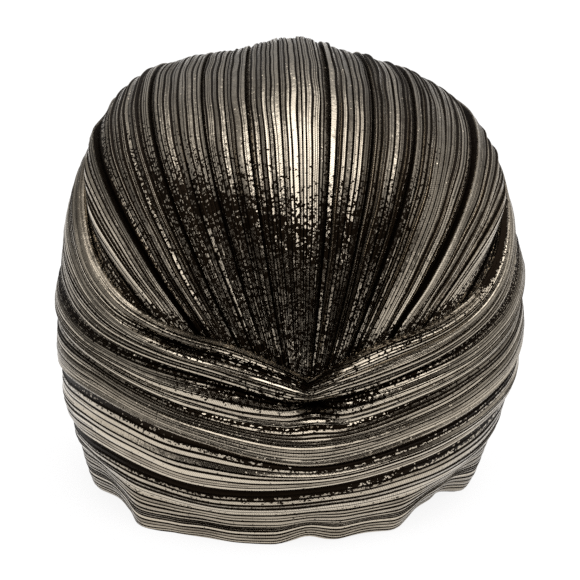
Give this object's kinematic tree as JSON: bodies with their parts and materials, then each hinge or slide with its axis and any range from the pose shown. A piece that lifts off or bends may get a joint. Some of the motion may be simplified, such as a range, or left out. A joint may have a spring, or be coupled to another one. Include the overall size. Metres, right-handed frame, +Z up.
{
  "type": "pleated turban hat",
  "caption": "Pleated turban hat with a domed crown and a wrapped band that dips to a V over a front tuck.",
  "frame": {"origin": "bottom centre of the box round the hat, on the surface that the hem rests on", "axes": "+Z up, -Y towards the front of the hat, where the V and the tuck are, +X towards the wearer's left"},
  "size_m": [0.2138, 0.2371, 0.1963],
  "materials": {
    "crown_cloth": "bronze foil on a black knit, pressed in fine pleats that run front to back",
    "band_cloth": "bronze foil on a black knit, pressed in fine pleats that run round the head"
  },
  "bodies": {
    "root": {"crown_panel": "crown_cloth", "wrap_band": "band_cloth"}
  },
  "joints": []
}
